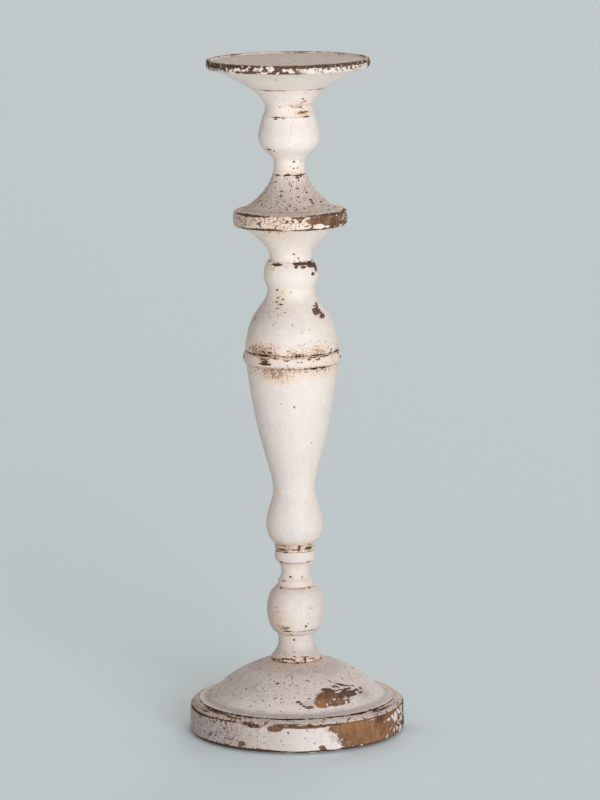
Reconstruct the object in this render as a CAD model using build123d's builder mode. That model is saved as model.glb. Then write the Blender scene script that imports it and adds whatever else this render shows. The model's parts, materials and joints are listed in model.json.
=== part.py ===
"""Turned wooden candlestick for a pillar candle.

Origin at the centre of the rest face, +Z up, millimetres. Every wooden piece is turned, so each
one is an outline of (radius, height) points revolved about the Z axis.
"""
import os

from build123d import *

os.makedirs("parts", exist_ok=True)

# ---- heights of the stack, from the table up ----
felt_proud = 0.8  # the pad stands this much below the plinth
felt_thickness = 1.6
plinth_top = 17.6
moulding_top = 20.6
dome_top = 44.6
spindle_top = 113.0
vase_top = 229.0
ring_top = 237.0
shoulder_top = 292.0
drip_cup_top = 313.7
drip_disc_top = 323.0
drip_cone_top = 345.0
upper_spindle_top = 397.0
seat_height = 413.3
overall_height = 414.5

# ---- main radii ----
plinth_radius = 66.2
felt_radius = 60.0
moulding_radius = 65.4
dome_radius = 60.0
ring_radius = 29.8
drip_disc_radius = 34.6
plate_radius = 49.7

# ---- joints inside the stack ----
dome_spigot_radius = 40.0
dome_spigot_bottom = 11.6
foot_tenon_radius = 9.0
foot_tenon_bottom = 24.0
plate_tenon_radius = 8.0
plate_tenon_top = 405.0
slim_dowel_radius = 4.0
stout_dowel_radius = 6.0
dowel_chamfer = 0.8
flute_count = 12
flute_radius = 0.35
lower_dowel_ends = (92.0, 134.0)
middle_dowel_ends = (207.0, 259.0)
upper_dowel_ends = (268.0, 366.0)

# ---- screws and washer ----
thread_pitch = 1.8
thread_depth = 0.5
stem_screw_radius = 2.5
stem_screw_length = 54.0
stem_head_radius = 5.0
stem_head_height = 3.2
stem_counterbore_radius = 9.0
stem_counterbore_top = 7.4
washer_radius = 8.0
washer_thickness = 1.2
stem_head_seat = stem_counterbore_top - washer_thickness
base_screw_radius = 2.1
base_screw_length = 24.0
base_head_radius = 4.0
base_head_height = 2.6
base_counterbore_top = 5.2
base_screw_circle = 30.0
base_screw_count = 3
base_screw_start = 60.0
plate_screw_radius = 2.1
plate_screw_length = 30.0
plate_head_radius = 4.2
plate_head_height = 2.8
plate_screw_seat = seat_height - plate_head_height
screw_slot_width = 1.1
screw_slot_depth = 1.2
hole_clearance = 0.3

UPWARD = (Align.CENTER, Align.CENTER, Align.MIN)


def outline_plane(height):
    """The upright plane through the axis, with its origin at a height: x is radius, y is up."""
    return Plane.XZ.shift_origin((0, 0, height))


def close_on_axis(bottom, top):
    """Close a turned outline along the axis, from its top point to its bottom point."""
    bottom, top = Vector(bottom), Vector(top)
    Polyline(top, (0, top.Y), (0, bottom.Y), bottom)


def bore(radius, low, high):
    """Cut a round hole on the axis between two heights."""
    with Locations((0, 0, low)):
        Cylinder(radius, high - low, align=UPWARD, mode=Mode.SUBTRACT)


def bore_circle(radius, low, high):
    """Cut one round hole for each base screw between two heights."""
    with Locations((0, 0, low)):
        with PolarLocations(base_screw_circle, base_screw_count, start_angle=base_screw_start):
            Cylinder(radius, high - low, align=UPWARD, mode=Mode.SUBTRACT)


def threaded_shank(radius, length):
    """Outline points of a screw's shank below its head: smooth third, thread, gimlet point."""
    smooth = length / 3
    point = 2.5 * radius
    core = radius - thread_depth
    turns = int((length - smooth - point) / thread_pitch)
    outline = [(radius, 0), (radius, smooth), (core, smooth)]
    for turn in range(turns):
        crest = smooth + (turn + 0.5) * thread_pitch
        outline += [(radius, crest), (core, crest + 0.5 * thread_pitch)]
    return outline + [(0, length)]


def screw_outline(shank_radius, length, head_outline):
    """Close a screw's outline: its shank up to the point, then its head, from the rim to the axis."""
    shank = threaded_shank(shank_radius, length)
    Polyline(*shank, (0, head_outline[-1][1]), *reversed(head_outline), shank[0])


def dowel(radius, low, high):
    """A straight dowel pin on the axis with chamfered ends and glue flutes along its side."""
    with Locations((0, 0, low)):
        pin = Cylinder(radius, high - low, align=UPWARD)
        chamfer(pin.edges().filter_by(GeomType.CIRCLE), length=dowel_chamfer)
        with PolarLocations(radius, flute_count):
            Cylinder(flute_radius, high - low, align=UPWARD, mode=Mode.SUBTRACT)


# ---- base ----
with BuildPart() as felt_pad:
    Cylinder(felt_radius, felt_thickness, align=UPWARD)
    fillet(felt_pad.edges().group_by(Axis.Z)[0], radius=0.5)
felt_pad.part.label = "felt_pad"
export_step(felt_pad.part, "parts/felt_pad.step")

with BuildPart() as base_plinth:
    with BuildSketch(Plane.XZ):
        with BuildLine() as outline:
            Polyline(
                (plinth_radius - 1.2, felt_proud),
                (plinth_radius, felt_proud + 1.4),
                (plinth_radius - 0.4, plinth_top - 1.2),
            )
            ThreePointArc(
                (plinth_radius - 0.4, plinth_top - 1.2),
                (plinth_radius - 0.7, plinth_top - 0.35),
                (plinth_radius - 1.5, plinth_top),
            )
            close_on_axis((plinth_radius - 1.2, felt_proud), (plinth_radius - 1.5, plinth_top))
        make_face()
    revolve(axis=Axis.Z)
    bore(felt_radius + hole_clearance, felt_proud, felt_thickness)
    bore(dome_spigot_radius, dome_spigot_bottom, plinth_top)
    bore(stem_counterbore_radius, felt_thickness, stem_counterbore_top)
    bore(stem_screw_radius + hole_clearance, stem_counterbore_top, dome_spigot_bottom)
    bore_circle(base_head_radius + hole_clearance, felt_thickness, base_counterbore_top)
    bore_circle(base_screw_radius, base_counterbore_top, dome_spigot_bottom)
base_plinth.part.label = "base_plinth"
export_step(base_plinth.part, "parts/base_plinth.step")

with BuildPart() as base_moulding:
    with BuildSketch(Plane.XZ):
        with BuildLine():
            nose = Spline(
                (moulding_radius - 0.4, plinth_top),
                (moulding_radius - 1.7, plinth_top + 1.5),
                (moulding_radius - 4.6, moulding_top),
            )
            Polyline(nose @ 1, (dome_spigot_radius, moulding_top), (dome_spigot_radius, plinth_top), nose @ 0)
        make_face()
    revolve(axis=Axis.Z)
base_moulding.part.label = "base_moulding"
export_step(base_moulding.part, "parts/base_moulding.step")

with BuildPart() as base_dome:
    with BuildSketch(Plane.XZ):
        with BuildLine():
            foot = Polyline(
                (dome_spigot_radius, dome_spigot_bottom),
                (dome_spigot_radius, moulding_top),
                (dome_radius, moulding_top),
                (dome_radius, moulding_top + 0.5),
            )
            cove = ThreePointArc(
                foot @ 1,
                (dome_radius - 4.8, moulding_top + 1.0),
                (dome_radius - 8.0, moulding_top + 2.8),
            )
            crown = Spline(cove @ 1, (47.6, 28.0), (38.6, 34.8), (26.4, 41.0), (15.6, dome_top))
            close_on_axis(foot @ 0, crown @ 1)
        make_face()
    revolve(axis=Axis.Z)
    bore(foot_tenon_radius, foot_tenon_bottom, dome_top)
    bore(stem_screw_radius, dome_spigot_bottom, foot_tenon_bottom)
    bore_circle(base_screw_radius, dome_spigot_bottom, base_counterbore_top + base_screw_length)
base_dome.part.label = "base_dome"
export_step(base_dome.part, "parts/base_dome.step")

# ---- screws and washer in the base ----
with BuildPart() as base_screw:
    with BuildSketch(Plane.XZ):
        with BuildLine():
            screw_outline(
                base_screw_radius,
                base_screw_length,
                [(base_head_radius, 0), (base_head_radius - 0.8, -base_head_height)],
            )
        make_face()
    revolve(axis=Axis.Z)
    with Locations((0, 0, -base_head_height)):
        Box(2 * base_head_radius, screw_slot_width, 2 * screw_slot_depth, mode=Mode.SUBTRACT)

with BuildPart() as base_screws:
    with Locations((0, 0, base_counterbore_top)):
        with PolarLocations(base_screw_circle, base_screw_count, start_angle=base_screw_start):
            add(base_screw.part)
base_screws.part.label = "base_screws"
export_step(base_screws.part, "parts/base_screws.step")

with BuildPart() as stem_washer:
    with Locations((0, 0, stem_head_seat)):
        Cylinder(washer_radius, washer_thickness, align=UPWARD)
    fillet(stem_washer.edges().filter_by(GeomType.CIRCLE), radius=0.2)
    bore(stem_screw_radius, stem_head_seat, stem_counterbore_top)
stem_washer.part.label = "stem_washer"
export_step(stem_washer.part, "parts/stem_washer.step")

with BuildPart() as stem_screw:
    with BuildSketch(outline_plane(stem_head_seat)):
        with BuildLine():
            screw_outline(
                stem_screw_radius,
                stem_screw_length,
                [(stem_head_radius, 0), (stem_head_radius - 1.2, -stem_head_height)],
            )
        make_face()
    revolve(axis=Axis.Z)
    with Locations((0, 0, stem_head_seat - stem_head_height)):
        Box(2 * stem_head_radius, screw_slot_width, 2 * screw_slot_depth, mode=Mode.SUBTRACT)
stem_screw.part.label = "stem_screw"
export_step(stem_screw.part, "parts/stem_screw.step")

# ---- lower stem ----
with BuildPart() as lower_spindle:
    with BuildSketch(outline_plane(dome_top)):
        with BuildLine():
            tenon_bottom = foot_tenon_bottom - dome_top
            foot = Polyline((foot_tenon_radius, tenon_bottom), (foot_tenon_radius, 0), (15.2, 0), (15.2, 2.4))
            flare = Spline(foot @ 1, (12.2, 6.2), (10.8, 12.4), (11.3, 16.4))
            ball = Spline((11.7, 16.6), (15.1, 20.0), (17.1, 25.4), (17.8, 32.4), (16.7, 38.9), (11.5, 46.0))
            Line(flare @ 1, ball @ 0)
            ring = Polyline(ball @ 1, (10.8, 46.6), (10.4, 49.7))
            neck = Spline(ring @ 1, (8.8, 52.8), (8.6, 57.0), (10.6, 61.6))
            collar = ThreePointArc((11.9, 62.1), (12.4, 65.4), (12.0, spindle_top - dome_top))
            Line(neck @ 1, collar @ 0)
            close_on_axis(foot @ 0, collar @ 1)
        make_face()
    revolve(axis=Axis.Z)
    bore(stem_screw_radius, foot_tenon_bottom, stem_head_seat + stem_screw_length)
    bore(slim_dowel_radius, lower_dowel_ends[0], spindle_top)
lower_spindle.part.label = "lower_spindle"
export_step(lower_spindle.part, "parts/lower_spindle.step")

with BuildPart() as lower_dowel:
    dowel(slim_dowel_radius, *lower_dowel_ends)
lower_dowel.part.label = "lower_dowel"
export_step(lower_dowel.part, "parts/lower_dowel.step")

# ---- vase, ring and shoulder ----
with BuildPart() as vase_body:
    with BuildSketch(outline_plane(spindle_top)):
        with BuildLine():
            band = Polyline((11.8, 0), (12.1, 0.6), (12.1, 4.4), (12.8, 4.7))
            bulb = Spline(band @ 1, (16.2, 10.0), (17.4, 16.0), (16.6, 22.5), (13.6, 32.4))
            taper = Spline(
                bulb @ 1,
                (12.8, 37.5),
                (14.2, 47.5),
                (17.9, 61.0),
                (22.6, 81.0),
                (25.7, 98.0),
                (27.8, vase_top - spindle_top),
            )
            close_on_axis(band @ 0, taper @ 1)
        make_face()
    revolve(axis=Axis.Z)
    bore(slim_dowel_radius, spindle_top, lower_dowel_ends[1])
    bore(stout_dowel_radius, middle_dowel_ends[0], vase_top)
vase_body.part.label = "vase_body"
export_step(vase_body.part, "parts/vase_body.step")

with BuildPart() as middle_dowel:
    dowel(stout_dowel_radius, *middle_dowel_ends)
middle_dowel.part.label = "middle_dowel"
export_step(middle_dowel.part, "parts/middle_dowel.step")

with BuildPart() as bead_ring:
    with BuildSketch(outline_plane(vase_top)):
        with BuildLine():
            belly = ThreePointArc(
                (ring_radius - 1.6, 0),
                (ring_radius, 3.4),
                (ring_radius - 0.9, ring_top - vase_top - 0.5),
            )
            brow = Line(belly @ 1, (ring_radius - 1.5, ring_top - vase_top))
            close_on_axis(belly @ 0, brow @ 1)
        make_face()
    revolve(axis=Axis.Z)
    bore(stout_dowel_radius, vase_top, ring_top)
bead_ring.part.label = "bead_ring"
export_step(bead_ring.part, "parts/bead_ring.step")

with BuildPart() as shoulder:
    with BuildSketch(outline_plane(ring_top)):
        with BuildLine():
            bell = Spline(
                (27.8, 0),
                (28.4, 2.0),
                (27.9, 6.5),
                (26.8, 12.0),
                (24.2, 19.2),
                (19.0, 27.2),
                (15.5, 32.6),
                (14.5, 38.8),
            )
            collar = ThreePointArc((14.8, 39.6), (16.6, 46.0), (13.9, shoulder_top - ring_top))
            Line(bell @ 1, collar @ 0)
            close_on_axis(bell @ 0, collar @ 1)
        make_face()
    revolve(axis=Axis.Z)
    bore(stout_dowel_radius, ring_top, middle_dowel_ends[1])
    bore(slim_dowel_radius, upper_dowel_ends[0], shoulder_top)
shoulder.part.label = "shoulder"
export_step(shoulder.part, "parts/shoulder.step")

with BuildPart() as upper_dowel:
    dowel(slim_dowel_radius, *upper_dowel_ends)
upper_dowel.part.label = "upper_dowel"
export_step(upper_dowel.part, "parts/upper_dowel.step")

# ---- drip pan: cup, disc and cone ----
with BuildPart() as drip_cup:
    with BuildSketch(outline_plane(shoulder_top)):
        with BuildLine():
            cup = Spline(
                (13.3, 0),
                (12.9, 4.0),
                (14.5, 7.4),
                (19.3, 13.0),
                (25.6, 18.4),
                (30.0, drip_cup_top - shoulder_top),
            )
            close_on_axis(cup @ 0, cup @ 1)
        make_face()
    revolve(axis=Axis.Z)
    bore(slim_dowel_radius, shoulder_top, drip_cup_top)
drip_cup.part.label = "drip_cup"
export_step(drip_cup.part, "parts/drip_cup.step")

with BuildPart() as drip_disc:
    with BuildSketch(outline_plane(drip_cup_top)):
        with BuildLine():
            edge = ThreePointArc(
                (drip_disc_radius - 0.3, 0.7),
                (drip_disc_radius, 4.5),
                (drip_disc_radius - 0.6, drip_disc_top - drip_cup_top - 0.6),
            )
            under = Line((drip_disc_radius - 1.1, 0), edge @ 0)
            over = Line(edge @ 1, (drip_disc_radius - 1.3, drip_disc_top - drip_cup_top))
            close_on_axis(under @ 0, over @ 1)
        make_face()
    revolve(axis=Axis.Z)
    bore(slim_dowel_radius, drip_cup_top, drip_disc_top)
drip_disc.part.label = "drip_disc"
export_step(drip_disc.part, "parts/drip_disc.step")

with BuildPart() as drip_cone:
    with BuildSketch(outline_plane(drip_disc_top)):
        with BuildLine():
            cone = Spline((32.6, 0), (27.2, 1.8), (20.6, 6.6), (15.0, 12.6), (11.8, 17.6), (10.3, 21.6))
            tip = Line(cone @ 1, (10.0, drip_cone_top - drip_disc_top))
            close_on_axis(cone @ 0, tip @ 1)
        make_face()
    revolve(axis=Axis.Z)
    bore(slim_dowel_radius, drip_disc_top, drip_cone_top)
drip_cone.part.label = "drip_cone"
export_step(drip_cone.part, "parts/drip_cone.step")

# ---- upper stem and plate ----
with BuildPart() as upper_spindle:
    with BuildSketch(outline_plane(drip_cone_top)):
        with BuildLine():
            foot = Polyline((9.8, 0), (9.9, 1.6), (9.4, 2.2), (9.4, 8.8), (9.9, 9.3))
            ball = Spline(foot @ 1, (13.5, 13.0), (17.2, 17.0), (18.7, 23.0), (17.5, 28.8), (16.1, 34.8))
            cove = Spline((15.7, 35.2), (14.4, 39.0), (14.4, 42.4))
            Line(ball @ 1, cove @ 0)
            cup = Spline((14.8, 42.7), (17.2, 46.3), (23.0, upper_spindle_top - drip_cone_top))
            Line(cove @ 1, cup @ 0)
            tenon = Polyline(
                cup @ 1,
                (plate_tenon_radius, upper_spindle_top - drip_cone_top),
                (plate_tenon_radius, plate_tenon_top - drip_cone_top),
            )
            close_on_axis(foot @ 0, tenon @ 1)
        make_face()
    revolve(axis=Axis.Z)
    bore(slim_dowel_radius, drip_cone_top, upper_dowel_ends[1])
    bore(plate_screw_radius, plate_screw_seat - plate_screw_length, plate_tenon_top)
upper_spindle.part.label = "upper_spindle"
export_step(upper_spindle.part, "parts/upper_spindle.step")

with BuildPart() as candle_plate:
    with BuildSketch(outline_plane(upper_spindle_top)):
        with BuildLine():
            rim_top = overall_height - upper_spindle_top
            seat = seat_height - upper_spindle_top
            underside = Spline((23.0, 0), (30.0, 3.7), (38.0, 8.0), (46.0, 11.3), (plate_radius - 0.8, 12.1))
            rim = ThreePointArc(
                (plate_radius - 0.2, 12.7), (plate_radius, 14.6), (plate_radius - 0.3, rim_top - 0.6)
            )
            Line(underside @ 1, rim @ 0)
            lip = Polyline(
                rim @ 1,
                (plate_radius - 1.0, rim_top),
                (plate_radius - 2.8, rim_top),
                (plate_radius - 3.8, seat),
            )
            close_on_axis(underside @ 0, lip @ 1)
        make_face()
    revolve(axis=Axis.Z)
    bore(plate_tenon_radius, upper_spindle_top, plate_tenon_top)
    bore(plate_screw_radius, plate_tenon_top, plate_screw_seat)
    with Locations((0, 0, plate_screw_seat)):
        Cone(plate_screw_radius, plate_head_radius, plate_head_height, align=UPWARD, mode=Mode.SUBTRACT)
candle_plate.part.label = "candle_plate"
export_step(candle_plate.part, "parts/candle_plate.step")

with BuildPart() as plate_screw:
    head_down = Plane(origin=(0, 0, plate_screw_seat), x_dir=(1, 0, 0), z_dir=(0, 1, 0))
    with BuildSketch(head_down):
        with BuildLine():
            screw_outline(
                plate_screw_radius, plate_screw_length, [(plate_head_radius, -plate_head_height)]
            )
        make_face()
    revolve(axis=Axis.Z)
    with Locations((0, 0, seat_height)):
        Box(2 * plate_head_radius, screw_slot_width, 2 * screw_slot_depth, mode=Mode.SUBTRACT)
plate_screw.part.label = "plate_screw"
export_step(plate_screw.part, "parts/plate_screw.step")
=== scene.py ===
"""Looks of the turned wooden candlestick: chalky cream paint, chipped through to brown wood.

Each painted piece is a lathed skin on the outline of its own CAD node. Chips, stains, dark joint lines
and painted shade are worked out as values on the skin's points. They shape the mesh and feed the material.
Skins are worked out in millimetres. Azimuth is 0 towards the camera and grows to the right.
"""

from dataclasses import dataclass
from functools import partial
import json
import math

import bpy
import numpy as np
from mathutils import Matrix


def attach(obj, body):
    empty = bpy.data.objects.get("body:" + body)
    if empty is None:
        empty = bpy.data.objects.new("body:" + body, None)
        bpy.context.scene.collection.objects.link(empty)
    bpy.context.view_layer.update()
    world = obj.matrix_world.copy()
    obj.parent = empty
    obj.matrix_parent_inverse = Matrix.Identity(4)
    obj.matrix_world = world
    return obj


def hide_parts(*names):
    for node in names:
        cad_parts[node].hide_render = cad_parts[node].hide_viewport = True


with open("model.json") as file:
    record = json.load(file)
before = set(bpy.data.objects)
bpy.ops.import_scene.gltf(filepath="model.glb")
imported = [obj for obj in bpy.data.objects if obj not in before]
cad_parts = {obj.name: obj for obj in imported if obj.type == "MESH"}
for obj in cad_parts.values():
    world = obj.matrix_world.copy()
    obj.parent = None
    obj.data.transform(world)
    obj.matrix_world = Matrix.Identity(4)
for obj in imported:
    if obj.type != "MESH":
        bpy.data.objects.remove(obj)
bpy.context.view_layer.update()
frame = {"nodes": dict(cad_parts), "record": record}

MM = 0.001  # in metres
SEED = 7
RNG = np.random.default_rng(SEED)

# ---------------- smooth random values
LATTICE = 64
OCTAVE_SHIFT = 17.3
OCTAVE_FADE = 0.6
UPRIGHT = np.array([1, 1, 0.4])  # stretches a pattern along the axis
RANDOM = RNG.uniform(-1, 1, (LATTICE, LATTICE, LATTICE)).astype(np.float32)


def noise(points, size, shift=0.0):
    """A smooth random value from -1 to 1 at each point, in lumps about `size` mm across."""
    place = points / size + shift
    cell = np.floor(place)
    part = (place - cell).astype(np.float32)
    part = part * part * (3 - 2 * part)
    low = cell.astype(np.int64) % LATTICE
    high = (low + 1) % LATTICE
    total = 0
    for a, i in ((1 - part[..., 0], low[..., 0]), (part[..., 0], high[..., 0])):
        for b, j in ((1 - part[..., 1], low[..., 1]), (part[..., 1], high[..., 1])):
            for c, k in ((1 - part[..., 2], low[..., 2]), (part[..., 2], high[..., 2])):
                total = total + a * b * c * RANDOM[i, j, k]
    return total


def fractal(points, size, octaves, shift=0.0):
    """Noise with finer and fainter copies of itself on top."""
    total, weight = 0, 0
    for octave in range(octaves):
        share = OCTAVE_FADE**octave
        total = total + noise(points, size / 2**octave, shift + OCTAVE_SHIFT * octave) * share
        weight += share
    return total / weight


def step_up(value, low, high):
    """0 below low, 1 above high, smooth between."""
    share = np.clip((value - low) / (high - low), 0, 1)
    return share * share * (3 - 2 * share)


# ---------------- outlines of the CAD nodes
CUT_ANGLE = math.radians(0.05)
JOIN_GAP = 0.02
SHORTEST_FLAT = 0.35
SIGHT_GAP = 0.25


def cut_pieces(node):
    """The node's mesh cut by an upright half-plane: short pieces of outline, as (radius, height)."""
    mesh = frame["nodes"][node].data
    mesh.calc_loop_triangles()
    points = np.empty(len(mesh.vertices) * 3, np.float32)
    mesh.vertices.foreach_get("co", points)
    points = points.reshape(-1, 3).astype(float) / MM
    corners = np.empty(len(mesh.loop_triangles) * 3, np.int32)
    mesh.loop_triangles.foreach_get("vertices", corners)
    corners = corners.reshape(-1, 3)
    outward = np.array([math.cos(CUT_ANGLE), math.sin(CUT_ANGLE), 0])
    side = points @ np.array([-outward[1], outward[0], 0])
    flat = np.stack([points @ outward, points[:, 2]], 1)
    ahead = side >= 0
    split = ahead[corners].any(1) & ~ahead[corners].all(1)
    pieces = []
    for triangle in corners[split]:
        ends = []
        for a, b in zip(triangle, np.roll(triangle, 1)):
            if ahead[a] != ahead[b]:
                ends.append(flat[a] + side[a] / (side[a] - side[b]) * (flat[b] - flat[a]))
        pieces.append(ends)
    pieces = np.array(pieces)
    return pieces[pieces[:, :, 0].min(1) > -JOIN_GAP]


def chained(pieces):
    """The pieces joined end to end, counterclockwise, from the axis to the axis or round to the start."""
    first = np.unravel_index(np.argmin(pieces[:, :, 0]), pieces.shape[:2])
    chain = [pieces[first[0], first[1]], pieces[first[0], 1 - first[1]]]
    unused = np.ones(len(pieces), bool)
    unused[first[0]] = False
    while unused.any():
        away = np.linalg.norm(pieces - chain[-1], axis=2) + np.where(unused, 0, np.inf)[:, None]
        piece, end = np.unravel_index(np.argmin(away), away.shape)
        if away[piece, end] > JOIN_GAP:
            break
        chain.append(pieces[piece, 1 - end])
        unused[piece] = False
    chain = np.array(chain)
    chain[:, 0] = np.maximum(chain[:, 0], 0)
    moved = np.linalg.norm(np.diff(chain, axis=0), axis=1) > JOIN_GAP / 4
    chain = chain[np.append(True, moved)]
    ahead = np.roll(chain, -1, 0)
    area = np.sum(chain[:, 0] * ahead[:, 1] - ahead[:, 0] * chain[:, 1])
    return chain if area > 0 else chain[::-1]


# The base screws stand off the axis, so they have no outline of this kind.
outlines = {name: chained(cut_pieces(name)) for name in frame["nodes"] if name != "base_screws"}
walls = np.concatenate([np.stack([line, np.roll(line, -1, 0)], 1) for line in outlines.values()])


def blocked(points, along, across):
    """Which outlines a ray from each point meets along one coordinate: upwards in value, and downwards."""
    a, b = walls[None, :, 0], walls[None, :, 1]
    p = points[:, None]
    spans = (a[..., across] > p[..., across]) != (b[..., across] > p[..., across])
    run = np.where(spans, b[..., across] - a[..., across], 1)
    meets = a[..., along] + (p[..., across] - a[..., across]) / run * (b[..., along] - a[..., along])
    return spans & (meets > p[..., along]), spans & (meets < p[..., along])


def in_sight(line):
    """For each piece of an outline, whether it lies on the outside of the assembled object."""
    middle = (line[1:] + line[:-1]) / 2
    run = np.diff(line, axis=0)
    outward = np.stack([run[:, 1], -run[:, 0]], 1) / np.linalg.norm(run, axis=1)[:, None]
    beside = middle + SIGHT_GAP * outward
    out, _ = blocked(beside, 0, 1)
    up, down = blocked(beside, 1, 0)
    return ~out.any(1) | ~up.any(1) | ~down.any(1)


def split_at_neighbours(line):
    """The outline with a point added wherever a neighbouring piece's corner lies on one of its flats."""
    pieces = []
    for start, end in zip(line[:-1], line[1:]):
        run = end - start
        length = np.linalg.norm(run)
        ahead = (walls[:, 0] - start) @ run / length
        aside = np.abs((walls[:, 0] - start) @ np.array([-run[1], run[0]]) / length)
        touching = (aside < JOIN_GAP) & (ahead > SHORTEST_FLAT) & (ahead < length - SHORTEST_FLAT)
        stops = np.unique(np.round(ahead[touching], 1))
        pieces += [start] + [start + run * stop / length for stop in stops]
    return np.array(pieces + [line[-1]])


def longest_run(seen, length):
    """Where the longest stretch of outline in sight starts and ends."""
    edges = np.flatnonzero(np.diff(np.concatenate([[0], seen.astype(int), [0]])))
    runs = edges.reshape(-1, 2)
    return runs[np.argmax([length[start:end].sum() for start, end in runs])]


# ---------------- skins
CORNER_TURN = math.radians(22)
SHARPEST_TURN = 1.2  # radians
FINE_STEP = 0.05
SMOOTHINGS = 12
CROWDING = 0.45
CROWDING_REACH = 2.5
OUTER_FIRST = 0.02  # of two rows at one height, a mark goes on the outer one
SCREW_HOLE = 4.3
FAR_OUTSIDE = -1.5
SHADED_SHARP = math.radians(55)
ON_AXIS = 0.001


class Skin:
    """A piece's outside as a grid: one row along the outline, one column around the axis."""

    def __init__(self, node, spacing, columns):
        line = split_at_neighbours(outlines[node])
        seen = in_sight(line) & (np.maximum(line[1:, 0], line[:-1, 0]) > SCREW_HOLE)
        start, end = longest_run(seen, np.linalg.norm(np.diff(line, axis=0), axis=1))
        self.node = node
        self.below, self.above = line[:start], line[end + 1 :]
        self.corners, fine = self.smoothed(line[start : end + 1])
        rows = self.spaced(fine, spacing)
        self.radius, self.height, self.along = rows[:, 0], rows[:, 1], rows[:, 2]
        run = np.gradient(rows[:, :2], axis=0)
        run /= np.maximum(np.linalg.norm(run, axis=1), 1e-9)[:, None]
        self.normal = np.stack([run[:, 1], -run[:, 0]], 1)
        self.azimuth = np.linspace(-180, 180, columns, endpoint=False)
        self.points = self.placed(np.zeros((len(rows), columns)))
        self.length = self.along[-1]

    def smoothed(self, line):
        """The outline with its curves drawn finely, and where along it its corners are."""
        run = np.diff(line, axis=0)
        length = np.linalg.norm(run, axis=1)
        heading = np.unwrap(np.arctan2(run[:, 1], run[:, 0]))
        turn = np.diff(heading)
        at = np.append(0, np.cumsum(length))
        corners = [(at[i + 1], turn[i]) for i in range(len(turn)) if abs(turn[i]) > CORNER_TURN]
        fine = np.linspace(0, at[-1], int(at[-1] / FINE_STEP) + 2)
        line = np.stack([np.interp(fine, at, line[:, k]) for k in (0, 1)], 1)
        for _ in range(SMOOTHINGS):
            line[1:-1] = 0.25 * line[:-2] + 0.5 * line[1:-1] + 0.25 * line[2:]
        return corners, np.column_stack([line, fine])

    def spaced(self, fine, spacing):
        """Rows along the outline, closer together near its corners and ends."""
        marks = [0, fine[-1, 2]] + [at for at, _ in self.corners]
        near = np.min([np.abs(fine[:, 2] - at) for at in marks], axis=0)
        gap = spacing * (1 - CROWDING * np.exp(-((near / CROWDING_REACH) ** 2)))
        count = np.append(0, np.cumsum(np.diff(fine[:, 2]) / gap[1:]))
        wanted = np.linspace(0, count[-1], int(count[-1]) + 2)
        at = np.interp(wanted, count, fine[:, 2])
        return np.stack([np.interp(at, fine[:, 2], fine[:, k]) for k in range(3)], 1)

    def placed(self, lift):
        """Points of the grid, lifted off the outline along its normal."""
        angle = np.radians(self.azimuth)[None, :]
        radius = self.radius[:, None] + self.normal[:, :1] * lift
        height = self.height[:, None] + self.normal[:, 1:] * lift
        return np.stack([radius * np.sin(angle), -radius * np.cos(angle), height], 2)

    def around(self, azimuth):
        """Distance in mm around the axis from an azimuth, at every point."""
        turn = (self.azimuth - azimuth + 180) % 360 - 180
        return self.radius[:, None] * np.radians(turn)[None, :]

    def spot(self, azimuth, height, half_width, half_height, lean=0.0):
        """1 at a spot's centre, 0 on its edge and below 0 outside it."""
        row = np.argmin(np.abs(self.height - height) - OUTER_FIRST * self.radius)
        up = (self.along - self.along[row])[:, None]
        across = self.around(azimuth) - lean * up
        return np.maximum(1 - np.hypot(across / half_width, up / half_height), FAR_OUTSIDE)

    def near_corners(self, reach, convex):
        """1 on the outline's corners of one kind, fading within about `reach` mm."""
        near = np.zeros(len(self.along))
        for at, turn in self.corners:
            if (turn > 0) == convex:
                strength = min(abs(turn), SHARPEST_TURN) / SHARPEST_TURN
                near = np.maximum(near, strength * np.exp(-np.abs(self.along - at) / reach))
        return near[:, None]

    def joint_distance(self):
        """How far each row lies along the outline from a joint with a neighbouring piece."""
        return np.minimum(self.along, self.length - self.along)[:, None]


def linked(name, data):
    """A new object in the scene."""
    new = bpy.data.objects.new(name, data)
    bpy.context.scene.collection.objects.link(new)
    return new


def plain_rings(line, azimuth):
    """A ring of points round the axis for each point of an outline."""
    angle = np.radians(azimuth)
    rings = line[:, :1, None] * np.stack([np.sin(angle), -np.cos(angle)], 1)[None]
    heights = np.broadcast_to(line[:, 1:, None], (len(line), len(angle), 1))
    return np.concatenate([rings, heights], 2)


def ring_faces(count, columns, poles):
    """Faces from each ring to the next, and to the poles. With no pole the last ring joins the first."""
    below, above = np.arange(count - 1), np.arange(1, count)
    if not any(poles):
        below, above = np.append(below, count - 1), np.append(above, 0)
    column = np.arange(columns)
    beside = (column + 1) % columns
    low, high = below[:, None] * columns, above[:, None] * columns
    faces = np.stack([low + column, low + beside, high + beside, high + column], 2).reshape(-1, 4).tolist()
    pole = count * columns
    if poles[0]:
        faces += [[int(b), int(a), pole] for a, b in zip(column, beside)]
        pole += 1
    if poles[1]:
        top = (count - 1) * columns
        faces += [[int(top + a), int(top + b), pole] for a, b in zip(column, beside)]
    return faces


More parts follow.
